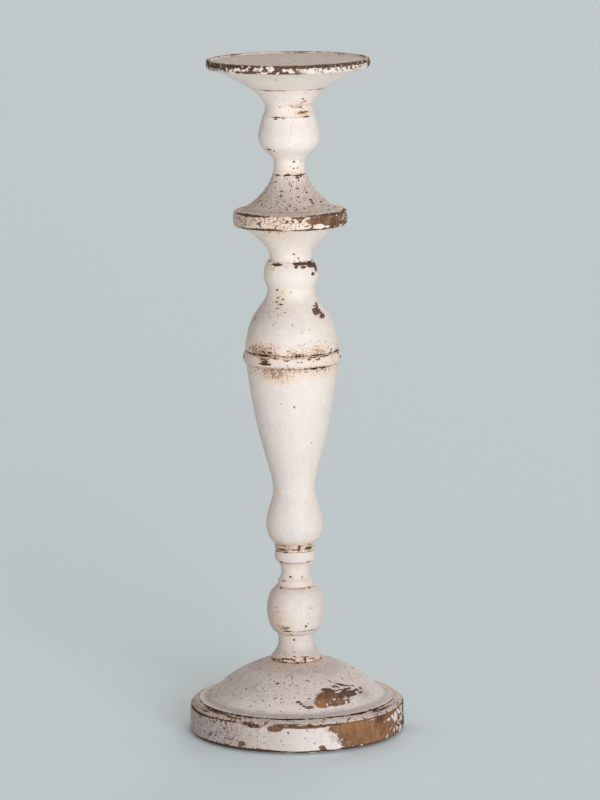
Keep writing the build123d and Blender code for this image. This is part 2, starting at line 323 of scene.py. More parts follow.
def add_mesh(name, skin, points, values):
    """A closed lathed mesh: the skin's grid, joined to the plain hidden part of its outline."""
    below, above = plain_rings(skin.below, skin.azimuth), plain_rings(skin.above, skin.azimuth)
    rings = np.concatenate([below, points, above])
    columns = len(skin.azimuth)
    poles = [np.hypot(*ring[0, :2]) < ON_AXIS for ring in (rings[0], rings[-1])]
    round_rings = slice(int(poles[0]), len(rings) - int(poles[1]))
    vertices = [rings[round_rings].reshape(-1, 3)]
    vertices += [ring[:1] for ring, pole in zip((rings[0], rings[-1]), poles) if pole]
    mesh = bpy.data.meshes.new(name)
    faces = ring_faces(len(rings[round_rings]), columns, poles)
    mesh.from_pydata((np.concatenate(vertices) * MM).tolist(), [], faces)
    for value_name, (value, hidden) in values.items():
        full = np.full((len(rings), columns), hidden, np.float32)
        full[len(below) : len(below) + len(points)] = value
        flat = np.full(len(mesh.vertices), hidden, np.float32)
        flat[: len(vertices[0])] = full[round_rings].reshape(-1)
        mesh.attributes.new(value_name, "FLOAT", "POINT").data.foreach_set("value", flat)
    mesh.update()
    mesh.polygons.foreach_set("use_smooth", np.ones(len(mesh.polygons), bool))
    mesh.set_sharp_from_angle(angle=SHADED_SHARP)
    return linked(name, mesh)


# ---------------- wear
# Each mark is (azimuth, height, half width, half height, strength, tone, lean), in degrees and mm.
# Tone and lean are 0 where they are left out. Tone is for bare wood, from 0 for black-brown to 1 for
# orange-brown. Lean is how far the mark goes sideways for each mm up.
# bare: paint gone.  flake: paint left in a bare place.  flaky: many small chips.
# islands: many small flakes.  line: a dark crack.  gap: a wider dark joint.  stain: brown flecks.
# wash: an even peach tint, under the candle plate a painted warm glow.  speck: tiny pits.
# grey: dirtier paint, and painted shade on the left sides and in the dome's cove.  rough: crusty paint.
MARKS = {}
MARKS["base_plinth"] = {
    "bare": [
        (52, 9, 36, 15, 1.6, 0.75), (30, 15, 17, 5, 1.3, 0.9), (4, 17.2, 19, 1.3, 1.2, 0.4),
        (78, 9, 20, 14, 1.5, 0.05), (50, 16, 6, 5, 1.3), (51, 7, 2.4, 3, 1.3, 0.1),
        (13, 3.6, 3, 2.2, 3.2, 0.5, -0.4), (-12, 15.8, 5.2, 2.2, 2.6, 0.4),
        (-24, 16.6, 4.2, 1.1, 1.2, 0.3), (-5, 13.6, 0.8, 0.8, 2.9, 0.2),
        (-31, 5, 3, 2.4, 0.9, 0.4, 0.5), (-67, 17.3, 20, 1.4, 1.8, 0.1),
        # The mark at height 1.6 across the front is bare dark wood, and partly painted contact shadow along
        # the bottom edge.
        (-12, 1.6, 115, 1.7, 2.4, 0.03), (158, 14, 26, 5.5, 1.5, 0.6, 0.6),
        (176, 5, 13, 5, 1.3, 0.35), (-142, 15, 19, 3.4, 1.4, 0.3), (118, 3.5, 9, 3.4, 1.2, 0.5),
        (-104, 6, 6, 4, 1.1, 0.4, 0.5),
    ],
    "flake": [
        (58, 13.8, 5.5, 1.2, 1.3, 0, 1.6), (66, 12.8, 5.5, 1.2, 1.3, 0, 1.4),
        (44, 16.6, 5, 0.5, 1.2), (36, 2.2, 1.5, 0.9, 1.2), (-1, 6.5, 22, 9.5, 1.7, 0, -0.35),
        (19, 3, 6.5, 4.2, 1.5, 0, -0.8),
    ],
    "flaky": [(0, 1.7, 400, 2.2, 0.85), (-50, 16.8, 40, 2.2, 0.6), (132, 8, 26, 12, 0.45)],
    "islands": [
        (70, 8, 17, 14, 0.75), (70, 14, 15, 5, 0.9), (165, 11, 30, 8, 0.62), (-140, 14, 20, 5, 0.7),
    ],
    # The line at height 1.3 across the front is a dark edge, and partly painted contact shadow at the
    # plinth's foot.
    "line": [(-67, 17.5, 19, 1.1, 1.9), (-8, 1.3, 115, 1, 1.6)],
    "gap": [
        (-44, 17.6, 9, 3, 1.1), (-26, 17.6, 7, 3, 1.3), (20, 17.6, 22, 3, 0.9),
        (-60, 17.6, 14, 3, 1.2),
    ],
    "speck": [(-40, 9, 60, 24, 1)],
    # Painted shade: the grey marks at azimuth -68, -66 and -32 darken the plinth's left side; the one
    # behind is dirt.
    "grey_dirt_and_shade": [
        (-68, 9, 22, 16, 0.45), (180, 9, 100, 24, 0.8), (-66, 9, 70, 40, 2), (-32, 8, 46, 40, 1),
    ],
    "rough": [(-58, 9, 60, 24, 0.74), (-12, 6, 24, 14, 0.55), (180, 9, 120, 24, 0.55)],
}
MARKS["base_moulding"] = {
    "bare": [
        (-5, 18.3, 12, 0.7, 0.9, 0.35), (-52, 20.2, 14, 1.1, 1.2, 0.25),
        (-38, 19.6, 7, 0.8, 1, 0.3), (56, 20, 10, 1, 1.1, 0.3), (-33, 20.6, 5, 0.9, 1.05, 0.2),
        (-12, 20.6, 4, 0.7, 1, 0.2), (38, 20.6, 8, 1, 1.1, 0.2), (-62, 19.2, 9, 1.3, 0.6, 0.3),
    ],
    "flaky": [(0, 18.2, 400, 1.6, 0.3)],
    "gap": [
        (-44, 20.6, 36, 3, 2.2), (-2, 20.6, 16, 3, 1.5), (42, 20.6, 24, 3, 2), (-44, 17.6, 9, 2, 1),
        (-26, 17.6, 6, 2, 1.2), (2, 17.6, 20, 2, 1),
    ],
    # Painted shade: the grey mark at azimuth -40 darkens the moulding's left side.
    "grey_dirt_and_shade": [(-40, 19, 60, 6, 0.9), (60, 19, 40, 6, 0.5)],
    "rough": [(0, 19, 400, 6, 0.66)],
}
MARKS["base_dome"] = {
    "bare": [
        (25, 30, 8, 5, 1.6, 0.35, 0.3), (19, 27.2, 5, 3.6, 1.6, 1, 0.3),
        (26, 33, 3.4, 1.8, 1.2, 0.2, -0.5), (29, 26.8, 11, 3, 1.4, 0.45),
        (35, 29.2, 9, 3.4, 1.5, 0.2, -0.4), (43, 29.8, 6, 2.4, 1.3, 0.1),
        (47, 28.6, 3.4, 0.8, 1, 0.3), (38, 31.6, 5.6, 1.6, 1.3, 0.1, -0.8),
        (46, 31.8, 3.6, 0.9, 1.2, 0.1, -1), (53, 30.2, 3, 1, 1.1, 0.2, -0.6),
        (8.5, 25.2, 2.8, 1.1, 1.1, 0.5), (5, 26, 1.5, 0.6, 1.1, 0.25, -0.7),
        (3, 27, 1, 0.7, 1, 0.3), (9, 29.7, 1.4, 0.5, 1.1, 0.15), (1, 28.3, 1.6, 1, 0.9, 0.4),
        (41, 34.6, 0.9, 2.8, 1.4, 0, -1.1), (45, 34, 0.9, 2.2, 1.3, 0, -1.1),
        (37, 34, 1, 1.8, 1.3, 0, -0.9), (33, 34.2, 0.8, 1.4, 1.2, 0.1, -0.8),
        (49, 33, 0.9, 1.6, 1.2, 0, -1), (35, 36.6, 0.6, 1.2, 1.1, 0, -1),
        (54, 32.6, 1, 1, 1.1, 0.1, -0.5), (51, 36.4, 0.8, 0.7, 1, 0.1, -0.5),
        (56, 28.6, 2, 0.8, 1, 0.25), (60, 30.4, 1.4, 1.2, 0.9, 0.35), (-19, 36.6, 1.8, 0.7, 1, 0.3),
        (-24, 37.4, 1, 0.6, 1, 0.3), (-13, 37.2, 0.9, 0.5, 0.9, 0.3),
        (-16, 35.4, 0.7, 0.5, 0.9, 0.3), (-12, 29.6, 0.7, 0.6, 1, 0.2),
        (11, 37.8, 0.5, 1.7, 1.1, 0.2, -1), (-9, 40.6, 0.7, 0.5, 1, 0.2),
        (-31, 34, 0.7, 0.5, 1, 0.2), (-20, 26, 0.6, 0.5, 1, 0.2), (-34, 25, 0.8, 0.4, 1, 0.2),
        (-158, 31, 11, 3.6, 1.5, 0.5, 0.4), (-168, 34.5, 6, 2.2, 1.3, 0.2, 0.8),
        (128, 27, 7, 2.2, 1.3, 0.4), (150, 39, 3.4, 1, 1.2, 0.3),
    ],
    "flake": [(36.5, 31.6, 3.6, 1, 1.3, 0, 1.6)],
    "flaky": [(140, 24.5, 26, 4, 0.42)],
    "islands": [(33, 27.4, 11, 3, 0.5), (-160, 31.5, 12, 4, 0.5)],
    "line": [(-46, 20.9, 26, 0.9, 1.35), (-8, 20.9, 9, 0.7, 1.2), (48, 20.9, 16, 0.8, 1.3)],
    "gap": [
        (-18, 44.4, 7, 1.4, 0.6), (-44, 20.9, 34, 3, 1.6), (-4, 20.9, 14, 2, 0.9),
        (42, 20.9, 24, 3, 1.5),
    ],
    "stain": [(0, 44, 400, 5, 0.35), (-30, 42.6, 14, 3.4, 0.75), (25, 43.6, 10, 2, 0.6)],
    "speck": [(-14, 34, 34, 20, 1.05), (30, 38, 24, 10, 0.9), (180, 34, 60, 24, 0.9)],
    # Painted shade: the grey marks at azimuth -50 and at height 21.6 darken the left side and the cove
    # above the moulding.
    "grey_dirt_and_shade": [
        (9, 27, 6, 3, 1), (58, 28, 9, 6, 1.2), (-50, 33, 22, 12, 0.7), (0, 21.6, 400, 2.2, 1.1),
        (0, 43.2, 400, 13, 0.95),
    ],
    "rough": [(0, 33, 400, 40, 0.36), (-45, 30, 30, 14, 0.5)],
}
MARKS["lower_spindle"] = {
    "bare": [
        (-5, 48.6, 0.9, 0.5, 1.1, 0.2), (24, 48, 2, 0.6, 1, 0.3), (22, 67.5, 0.7, 1, 1.2, 0.2),
        (26, 69.5, 0.6, 0.5, 1, 0.2), (-18, 67, 1.4, 0.5, 1, 0.3), (-26, 66.2, 1.6, 0.5, 1, 0.3),
        (-13, 61.6, 0.8, 1.6, 0.9, 0.4, -0.8), (-7, 58.2, 0.9, 0.7, 0.9, 0.4),
        (-20, 97.5, 0.9, 0.6, 1.1, 0.3), (28, 97, 0.7, 0.5, 0.9, 0.4),
    ],
    "flaky": [(15, 46.2, 12, 1.8, 0.8), (0, 45.4, 400, 1.8, 0.5)],
    "line": [
        (-18, 47, 6.4, 0.8, 1.4), (38, 46.8, 4, 0.5, 1.1), (-22, 64.3, 4.2, 0.6, 1.4),
        (30, 64.3, 9, 0.4, 0.9), (-50, 90.4, 2.3, 0.7, 1.3), (47, 90.4, 1.8, 0.6, 1.2),
        (-46, 94.6, 1.9, 0.5, 1.1), (0, 90.4, 12, 0.35, 0.8), (-44, 106.8, 2.4, 0.6, 1.3),
        (44, 106.8, 2.4, 0.5, 1.1),
    ],
    "gap": [(-16, 44.6, 7, 1.5, 0.9)],
    "stain": [
        (0, 46, 400, 3, 0.45), (0, 64.3, 400, 1.3, 0.9), (-30, 66.6, 6, 3.2, 1.1),
        (-34, 71, 7, 7, 0.5), (30, 65, 6, 1.2, 0.6), (-32, 76.6, 8, 1.2, 0.95, 0, 1.2),
        (-44, 79.4, 6, 0.8, 0.9, 0, 0.6), (-26, 74.4, 7, 0.8, 0.9, 0, 1),
        (-30, 72, 8, 1.8, 0.75, 0, 1.6), (-42, 69, 7, 3, 0.75), (32, 79, 6, 1.4, 0.6, 0, 1.4),
        (36, 74, 6, 1.4, 0.5, 0, 1.4), (0, 90.5, 400, 1.4, 0.8), (0, 106.2, 400, 1.6, 1),
        (0, 103.5, 400, 3, 0.35), (-50, 93, 4, 5, 0.7), (48, 90.5, 3, 2.5, 0.7),
        (0, 100, 20, 5, 0.25),
    ],
    "wash": [
        (-40, 73, 14, 12, 0.42), (-30, 84, 12, 6, 0.25), (0, 98, 400, 12, 0.3),
        (-20, 57, 12, 10, 0.3),
    ],
    "speck": [(30, 78, 7, 8, 0.6)],
    # Painted shade: the grey mark at azimuth -60 darkens the left side.
    "grey_dirt_and_shade": [(-60, 76, 12, 20, 0.8), (0, 50, 400, 14, 0.5), (60, 76, 10, 16, 0.5)],
    "rough": [(14, 50, 40, 6, 0.5)],
}
MARKS["vase_body"] = {
    "bare": [
        (44, 115.4, 3, 1.1, 1.1, 0.1), (13, 116, 0.7, 2.4, 1, 0.2, 0.2),
        (2, 114.8, 3.6, 0.6, 0.8, 0.6), (-44, 114.4, 4, 0.7, 1, 0.2), (40, 118, 1.6, 0.7, 0.9, 0.4),
        (172, 186, 1.6, 4.2, 1.2, 0.4, 0.2), (176, 179, 0.8, 1.6, 1.1, 0.3),
        (-150, 132, 3, 1.2, 1.2, 0.4, -0.4), (2, 205.5, 0.9, 1, 0.55, 0.6),
        (34, 182, 0.6, 0.5, 0.9, 0.4), (-16, 208, 0.6, 0.5, 0.8, 0.5),
    ],
    "flaky": [(-34, 227.8, 12, 1.6, 0.36)],
    "gap": [(-36, 113.2, 6, 2, 0.6), (30, 229, 14, 2, 1.2)],
    "stain": [
        (0, 113.8, 400, 1, 0.5), (20, 114.8, 9, 2.4, 0.8), (-46, 150, 4, 6, 0.5),
        (172, 184, 6, 12, 0.5), (46, 151, 4, 4, 0.4), (-78, 190, 9, 36, 0.35),
        (-26, 226.8, 20, 6, 1.1), (14, 227.6, 20, 4.4, 0.85), (50, 227.6, 14, 3.6, 0.8),
    ],
    "wash": [
        (0, 115.8, 400, 4, 0.82), (0, 119, 400, 3, 0.6), (0, 112, 400, 3, 0.5),
        (-60, 124, 12, 14, 0.4), (0, 226.6, 400, 8, 0.55), (-24, 225.4, 26, 9, 0.8),
    ],
    "speck": [(-20, 226.4, 30, 5, 0.9)],
}
MARKS["bead_ring"] = {
    "bare": [
        (-36, 235, 2.8, 0.8, 1.1, 0.1, -0.8), (-21, 235.8, 1.8, 0.5, 1.1, 0.1),
        (21, 234.9, 1.1, 0.4, 1.3, 0, 1.2), (31, 234.6, 1.3, 0.4, 1.3, 0, -1),
        (26, 236.2, 3.4, 0.5, 1.2, 0.1), (44, 236.2, 3.4, 0.5, 1.2, 0.1),
    ],
    "flaky": [(20, 235.4, 24, 1.8, 0.55)],
    "line": [
        (32, 229.4, 11, 0.6, 1.4), (-34, 232.2, 5.4, 1.2, 1.5), (-34, 233.6, 3.4, 1.3, 1.3, 0, 0.6),
        (80, 233.2, 2.6, 1.2, 1.4), (-82, 233.4, 2.8, 1.6, 1.4),
    ],
    "gap": [(0, 237, 400, 2, 0.8), (32, 229, 16, 2, 1.4), (-40, 229, 24, 2, 0.4)],
    "stain": [(-34, 234, 6, 3.5, 1.1), (0, 229.8, 99, 1.6, 0.8), (0, 236.2, 99, 1.4, 0.8)],
    "wash": [(0, 233, 400, 6, 0.25)],
    # Painted shade: this grey mark darkens the left side.
    "grey_dirt_and_shade": [(-60, 233, 16, 5, 0.6)],
}
MARKS["shoulder"] = {
    "bare": [
        (50, 262, 4.2, 3.2, 1.6, 0.25), (55, 260, 4, 1.9, 1.4, 0.1),
        (57, 265, 1.4, 3, 1.2, 0.15, 0.5), (49, 265.4, 1, 0.8, 1, 0.2),
        (-23, 267.2, 1.8, 0.5, 1.1, 0.3), (-34, 268.4, 1.4, 0.4, 1.1, 0.3),
        (-28, 265, 1.4, 0.4, 1.1, 0.3), (-20, 270, 1.2, 0.4, 1, 0.4),
        (-33, 270.8, 1.2, 0.4, 1, 0.4), (-36, 275.4, 1, 1, 1, 0.5), (-70, 258, 0.9, 1.4, 1.1, 0.1),
        (-12, 263, 1, 0.3, 0.9, 0.4, 0.5), (-38, 239.2, 2.2, 0.8, 0.9, 0.1),
        (30, 289.6, 2, 1, 1.3, 0.1), (12, 289.8, 1.2, 0.9, 1.3, 0.1), (60, 290.2, 6, 1.6, 1.4),
        (72, 288.2, 2.6, 3.6, 1.5, 0, 0.2), (54, 284.8, 2, 1.2, 1.5, 0.1),
        (1, 256, 0.5, 1.3, 0.6, 0.5), (-165, 256, 4.2, 2.2, 1.4, 0.3, 0.5),
        (-158, 259.4, 2, 1, 1.2, 0.2, 0.8),
    ],
    "flaky": [(14, 238.2, 26, 1.8, 0.36), (-44, 239.4, 12, 3, 0.44)],
    "islands": [(52, 262, 4, 3, 0.36), (-165, 256, 4, 3, 0.4)],
    "line": [(-38, 290.9, 5.4, 1.2, 1.5), (32, 291.2, 9, 1, 1.5)],
    "gap": [
        (0, 237, 400, 2, 0.65), (-38, 292, 7, 3, 1.6), (30, 292, 12, 3, 1.3),
        (160, 292, 14, 3, 1.2),
    ],
    "stain": [
        (-29, 269, 6, 13, 0.65), (-42, 239.8, 20, 8, 1), (-38, 238.2, 12, 3.4, 1.4),
        (24, 238.8, 24, 6, 0.85), (-44, 288, 4, 3, 0.7),
    ],
    "wash": [(0, 240, 400, 8, 0.4), (-28, 272, 9, 12, 0.55)],
    "speck": [(-40, 260, 16, 16, 1), (-36, 242, 20, 9, 1.1), (24, 241, 24, 7, 1.1)],
    # Painted shade: this grey mark darkens the left side.
    "grey_dirt_and_shade": [(-56, 258, 24, 20, 0.7)],
    "rough": [(8, 253, 6, 5, 0.5)],
}
MARKS["drip_cup"] = {
    "bare": [
        (8, 297.2, 1, 0.6, 1.1, 0.5), (21, 294.6, 0.6, 0.5, 1.1, 0.3),
        (-40, 300, 0.6, 0.5, 0.9, 0.4),
    ],
    "flaky": [(-15, 312.4, 8, 1.2, 0.5)],
    "gap": [(-27, 313.7, 13, 2, 0.7), (42, 313.7, 20, 2, 0.7)],
    "stain": [(-24, 310.6, 14, 7, 0.5), (0, 311, 40, 2.6, 0.4), (0, 293, 400, 1.4, 0.4)],
    "wash": [(-22, 309.6, 18, 8, 0.6), (0, 305, 400, 18, 0.34), (-16, 309, 18, 8, 0.6)],
}
MARKS["drip_disc"] = {
    "bare": [
        (52, 319.2, 20, 4.6, 1.9, 0.5), (70, 317, 12, 7, 1.7, 0.12), (42, 314.3, 24, 1.1, 1.7),
        (-30, 314.3, 16, 1.2, 1.7), (33, 320.4, 8, 1.6, 1.2, 0.3, -1), (62, 317, 12, 4, 1.8, 0.3),
        (-47, 322.6, 19, 0.95, 1.5), (60, 322.6, 22, 1.2, 1.4, 0.05), (8, 322, 6, 0.6, 1, 0.15),
        (-33, 318, 1.4, 0.7, 1, 0.3), (-3, 320, 1, 0.9, 1.2, 0.1), (10, 319.6, 1.2, 0.8, 1.2, 0.1),
        (-150, 319.5, 16, 4, 1.6, 0.3), (150, 321.6, 18, 1.8, 1.4, 0.1),
        (-120, 315, 8, 1.4, 1.3, 0.1),
    ],
    "flake": [
        (31, 316.2, 4.4, 2.2, 1.4), (42, 315.4, 1.2, 0.8, 1, 0, 0.6), (62, 315.3, 4.2, 1, 1.2),
        (76, 318.2, 1, 2.4, 1.1),
    ],
    "flaky": [
        (-38, 321, 34, 3.4, 0.36), (5, 320, 16, 4, 0.5), (26, 318.4, 12, 6, 0.55),
        (180, 319.4, 90, 7, 0.42),
    ],
    "islands": [(66, 316.6, 9, 6, 0.3), (34, 316, 8, 1.4, 0.5), (-150, 318, 18, 5, 0.45)],
    "line": [(-30, 314.1, 13, 0.7, 1.4), (38, 314.1, 17, 0.6, 1.4)],
    "gap": [
        (-45, 323, 20, 2, 1.2), (55, 323, 18, 2, 0.7), (-27, 313.7, 13, 2, 0.9),
        (42, 313.7, 20, 2, 0.9),
    ],
    "wash": [(-6, 318, 34, 14, 0.75), (-40, 318, 30, 14, 0.45)],
    # Painted shade: this grey mark darkens the left side.
    "grey_dirt_and_shade": [(-64, 318, 20, 8, 0.8)],
    "rough": [(-45, 318, 26, 7, 0.8)],
}
MARKS["drip_cone"] = {
    "bare": [
        (17, 332.6, 0.9, 0.6, 1.1, 0.1), (40, 334.6, 0.8, 0.8, 1.1, 0.1),
        (40, 330.6, 1.1, 0.5, 1.1, 0.1, -0.6), (-46, 341, 0.9, 0.7, 1.1, 0.1),
        (26, 343.6, 1.4, 0.7, 1.1, 0.1), (40, 344, 0.7, 0.7, 1.1, 0.1),
        (-20, 336, 0.7, 0.6, 1, 0.1),
    ],
    "flaky": [(0, 333, 400, 20, 0.07)],
    "line": [(-46, 344.7, 3, 0.6, 1.3), (-6, 344.8, 4, 0.4, 1.2), (30, 344.7, 5, 0.6, 1.3)],
    "gap": [(-48, 323, 22, 1.6, 0.8), (58, 323, 20, 1.6, 1)],
    "stain": [(-55, 335, 6, 10, 0.4)],
    "wash": [(30, 334, 20, 16, 0.3)],
    "speck": [(0, 330, 400, 24, 1.15)],
    "grey_dirt_and_shade": [(0, 331, 99, 18, 0.5), (0, 324.4, 400, 2, 0.8)],
}
MARKS["upper_spindle"] = {
    "bare": [
        (17, 353, 0.8, 0.7, 1.1, 0.2), (17, 349, 0.5, 0.5, 1, 0.2), (32, 349, 0.5, 0.5, 1, 0.2),
        (48, 353, 0.5, 0.5, 1, 0.2), (4, 350, 0.4, 0.4, 0.9, 0.2), (-50, 360.6, 2, 0.8, 1.3, 0.2),
        (-36, 359.8, 0.9, 0.4, 0.9, 0.3), (40, 383, 4.2, 0.6, 1.1, 0.6, 0.5),
        (28, 386.2, 2, 0.4, 0.9, 0.5), (36, 389.6, 1.8, 0.5, 0.9, 0.5, 0.8),
        (30, 391.4, 0.9, 0.6, 1.1, 0.4), (-22, 386.4, 0.7, 0.4, 0.8, 0.4),
        (-12, 379.6, 1.4, 0.4, 0.9, 0.4), (-30, 379.4, 1.4, 0.5, 0.9, 0.4),
    ],
    "line": [(44, 380.5, 4, 0.7, 1.3), (-20, 380.3, 8, 0.4, 1)],
    "gap": [(-46, 345, 3, 2, 0.9), (-8, 345, 3, 2, 0.7)],
    "stain": [
        (15, 345.6, 8, 0.8, 0.9), (30, 380.4, 12, 1.4, 0.9), (-40, 380.4, 12, 1, 0.7),
        (38, 382.6, 12, 3, 0.95), (22, 386.4, 14, 2, 0.6, 0, 0.4), (34, 389.5, 10, 6, 0.5, 0, -0.5),
        (0, 386.2, 40, 0.8, 0.6), (-52, 358, 6, 4, 0.7),
    ],
    "wash": [
        (24, 386, 20, 9, 0.45), (0, 392, 400, 8, 0.25), (-30, 384, 16, 6, 0.3),
        (-50, 358, 10, 8, 0.5), (0, 348, 400, 6, 0.3),
    ],
    "speck": [(30, 385, 10, 8, 0.9)],
}
MARKS["candle_plate"] = {
    "bare": [
        (-56, 412.7, 24, 1.8, 1.1, 0.15), (-13, 411.6, 17, 3.4, 1.2, 0.12),
        (-28, 409.9, 12, 1, 1.2, 0.05), (-8, 409.6, 10, 0.8, 1.2), (0, 413.9, 400, 1.5, 1.4, 0.05),
        (84, 411.5, 9, 3.4, 1.2, 0.05), (-86, 411.5, 8, 3, 1.1, 0.1),
        (172, 411.4, 26, 3, 1.4, 0.15),
    ],
    "flaky": [(-45, 411.8, 44, 4, 0.78), (40, 412, 48, 3.6, 0.62), (180, 411.8, 110, 4, 0.42)],
    "islands": [(170, 411.6, 30, 4, 0.6), (-14, 411.6, 26, 5, 0.62), (0, 413.9, 400, 1.6, 0.3)],
    "stain": [(0, 411.5, 99, 3, 0.35), (-22, 406, 18, 6, 0.45), (5, 401, 20, 5, 0.4)],
    # Painted warm glow: this peach tint under the plate stands in for warm light on the underside.
    "wash": [(0, 402, 400, 18, 0.25)],
    "rough": [(0, 411.5, 99, 4, 0.5)],
}


@dataclass
class Style:
    """How one painted piece is worn as a whole, the mm between its mesh rows, and its mesh columns."""

    spacing: float
    columns: int
    edges: float = 0.3
    joints: float = 0.7
    seep: float = 0.6
    chips: int = 6
    size: float = 1.0
    specks: float = 0.15
    grime_and_shade: float = 0.0
    # dust darkens up-facing surfaces: partly real dust, partly painted shade on the tops.
    dust: float = 0.42
    lilac: float = 0.5
    grain: float = 1.4


STYLES = {
    "base_plinth": Style(0.50, 860, edges=0.72, chips=14, specks=0.5, size=2.2, grime_and_shade=0.1),
    "base_moulding": Style(0.40, 860, edges=0.45, chips=10, specks=0.5, grime_and_shade=0.34, seep=0.9),
    "base_dome": Style(
        0.52, 720, edges=0.2, joints=0.45, chips=38, specks=0.7, grime_and_shade=0.11, size=1.6, lilac=0.85
    ),
    "lower_spindle": Style(0.42, 300, joints=0.45, chips=8, grime_and_shade=0.12, seep=0.8),
    "vase_body": Style(0.56, 390, edges=0.2, joints=0.3, chips=9, specks=0.06, size=0.8, seep=0.25),
    "bead_ring": Style(0.34, 520, chips=8, specks=0.4, grime_and_shade=0.1, seep=1.0),
    "shoulder": Style(0.46, 410, chips=10, specks=0.25, grime_and_shade=0.05, lilac=0.7, seep=1.0),
    "drip_cup": Style(0.46, 430, edges=0.2, chips=6, specks=0.12, lilac=0.2, seep=0.8),
    "drip_disc": Style(0.34, 600, edges=0.85, chips=12, specks=0.4, size=1.4, lilac=0.1, grain=1.1),
    "drip_cone": Style(0.46, 470, chips=8, specks=1.0, grime_and_shade=0.24, lilac=0.15),
    "upper_spindle": Style(0.42, 330, edges=0.25, chips=6, specks=0.1, lilac=0.6),
    "candle_plate": Style(0.58, 560, edges=0.85, chips=18, dust=0.9, size=1.2, lilac=0.1, grain=0.95),
}


FAR_SIDE = 95  # degrees to each side of straight behind
STAINED_SHARE = 0.35
PLAIN_TONE = 0.3  # of wood far from any mark
PLAIN_WEIGHT = 0.15


def far_side_marks(skin, style):
    """Random chips like the near side's, kept to the side that faces away from the camera."""
    marks = []
    for _ in range(style.chips):
        azimuth = 180 + RNG.uniform(-FAR_SIDE, FAR_SIDE)
        height = RNG.choice(skin.height)
        size = style.size * RNG.uniform(0.5, 1.0) ** 2
        wide = RNG.uniform(0.8, 2.6) * size
        tone = RNG.uniform(0.1, 0.7)
        lean = RNG.uniform(-0.6, 0.6)
        marks.append(("bare", azimuth, height, wide, size, 1.1, tone, lean))
        if RNG.uniform() < STAINED_SHARE:
            marks.append(("stain", azimuth, height, 3 * wide, 3 * size, 0.8))
    return marks


def marked(skin, style):
    """Every mark on one skin, as one value for each kind, and the tone of the wood in the bare places."""
    kinds = {kind: np.full(skin.points.shape[:2], FAR_OUTSIDE) for kind in ("bare", "line", "flake")}
    for kind in ("gap", "flaky", "islands", "stain", "wash", "speck", "grey_dirt_and_shade", "rough"):
        kinds[kind] = np.zeros(skin.points.shape[:2])
    tone, weight = PLAIN_TONE * PLAIN_WEIGHT, PLAIN_WEIGHT
    placed = [(kind, *mark) for kind, marks in MARKS[skin.node].items() for mark in marks]
    for kind, azimuth, height, wide, tall, strength, *rest in placed + far_side_marks(skin, style):
        shade, lean = (*rest, 0, 0)[:2]
        spot = skin.spot(azimuth, height, wide, tall, lean)
        if kind in ("bare", "line", "flake"):
            kinds[kind] = np.maximum(kinds[kind], np.minimum(strength * spot, spot + strength - 1))
        else:
            kinds[kind] = np.maximum(kinds[kind], strength * step_up(spot, -0.3, 0.9))
        if kind == "bare":
            pull = np.clip(spot + 0.3, 0, None) ** 2
            tone = tone + shade * pull
            weight = weight + pull
    return kinds, tone / weight


def scattered(value, zone, highest):
    """A value that comes above 0 in more and more places as its zone rises from 0 to 1."""
    return np.where(zone > 0, value - highest + zone, -1.0)


# How far wear reaches, in mm.
EDGE_REACH = 1.1
LIP_REACH = 1.1
SEEP_REACH = 2.4
HOLLOW_SHADE_REACH = 0.5
CORNER_SHADE_REACH = 1.2
CRACK_SOFTNESS = 0.55


def bare_places(skin, style, kinds, ragged, fine, other, patchy):
    """Where the paint is gone: above 0 on bare wood, and below 0 on paint."""
    rough = kinds["rough"]
    edges = style.edges * (1.7 * skin.near_corners(EDGE_REACH, convex=True) + 0.15) - 0.95 + 0.75 * patchy
    lips = style.joints * (1.05 * np.exp(-skin.joint_distance() / LIP_REACH)) - 0.95 + 0.55 * patchy
    bare = np.maximum(kinds["bare"], np.maximum(edges, lips))
    bare = bare + (0.42 + 0.3 * rough) * ragged + 0.2 * fine - 0.06
    bare = np.maximum(bare, scattered(2.2 * fine + 0.5 * ragged, kinds["flaky"], 0.9))
    bare = np.maximum(bare, scattered(2.0 * other, rough, 1.36))
    bare = bare - 1.5 * np.clip(kinds["flake"] + 0.5 * ragged + 0.2 * fine, 0, 1)
    return bare - 1.6 * step_up(scattered(2.2 * other + 0.4 * ragged, kinds["islands"], 0.9), -0.12, 0.1)


def dark_places(skin, style, kinds, ragged, fine, patchy):
    """Open joints, drawn cracks and painted shade in the hollow corners, from 0 to 1."""
    width = style.joints * (0.12 + 1.0 * patchy + 0.9 * ragged + 0.3 * fine)
    width = width + kinds["gap"] * (0.50 + 1.1 * ragged + 0.7 * fine)
    crack = np.clip((width - skin.joint_distance()) / CRACK_SOFTNESS + 0.35, 0, 1)
    # Painted shade: patches of dark in the hollow corners.
    hollow_shade = skin.near_corners(HOLLOW_SHADE_REACH, convex=False)
    hollow_shade = hollow_shade * step_up(patchy + 0.9 * fine, -0.05, 0.5)
    line = np.clip(kinds["line"] * 1.6 + 0.9 * ragged + 0.5 * fine, 0, 1)
    return np.maximum(np.maximum(crack, line), 0.75 * hollow_shade)


def stained_places(skin, style, kinds, patchy, flecks):
    """Placed stains and washes, brown that seeps from the joints, and painted brown shade in the hollow
    corners.
    """
    seep = np.exp(-skin.joint_distance() / SEEP_REACH) * np.clip(0.45 + 0.6 * patchy + 0.7 * flecks, 0, 1)
    stain = kinds["stain"] * np.clip(0.90 + 0.65 * flecks + 0.5 * patchy, 0, 1.2)
    stain = np.maximum(stain, kinds["wash"] * (0.9 + 0.3 * patchy + 0.15 * flecks))
    # The last term is painted shade: brown in the hollow corners.
    return stain + style.seep * seep + 0.25 * skin.near_corners(CORNER_SHADE_REACH, convex=False)


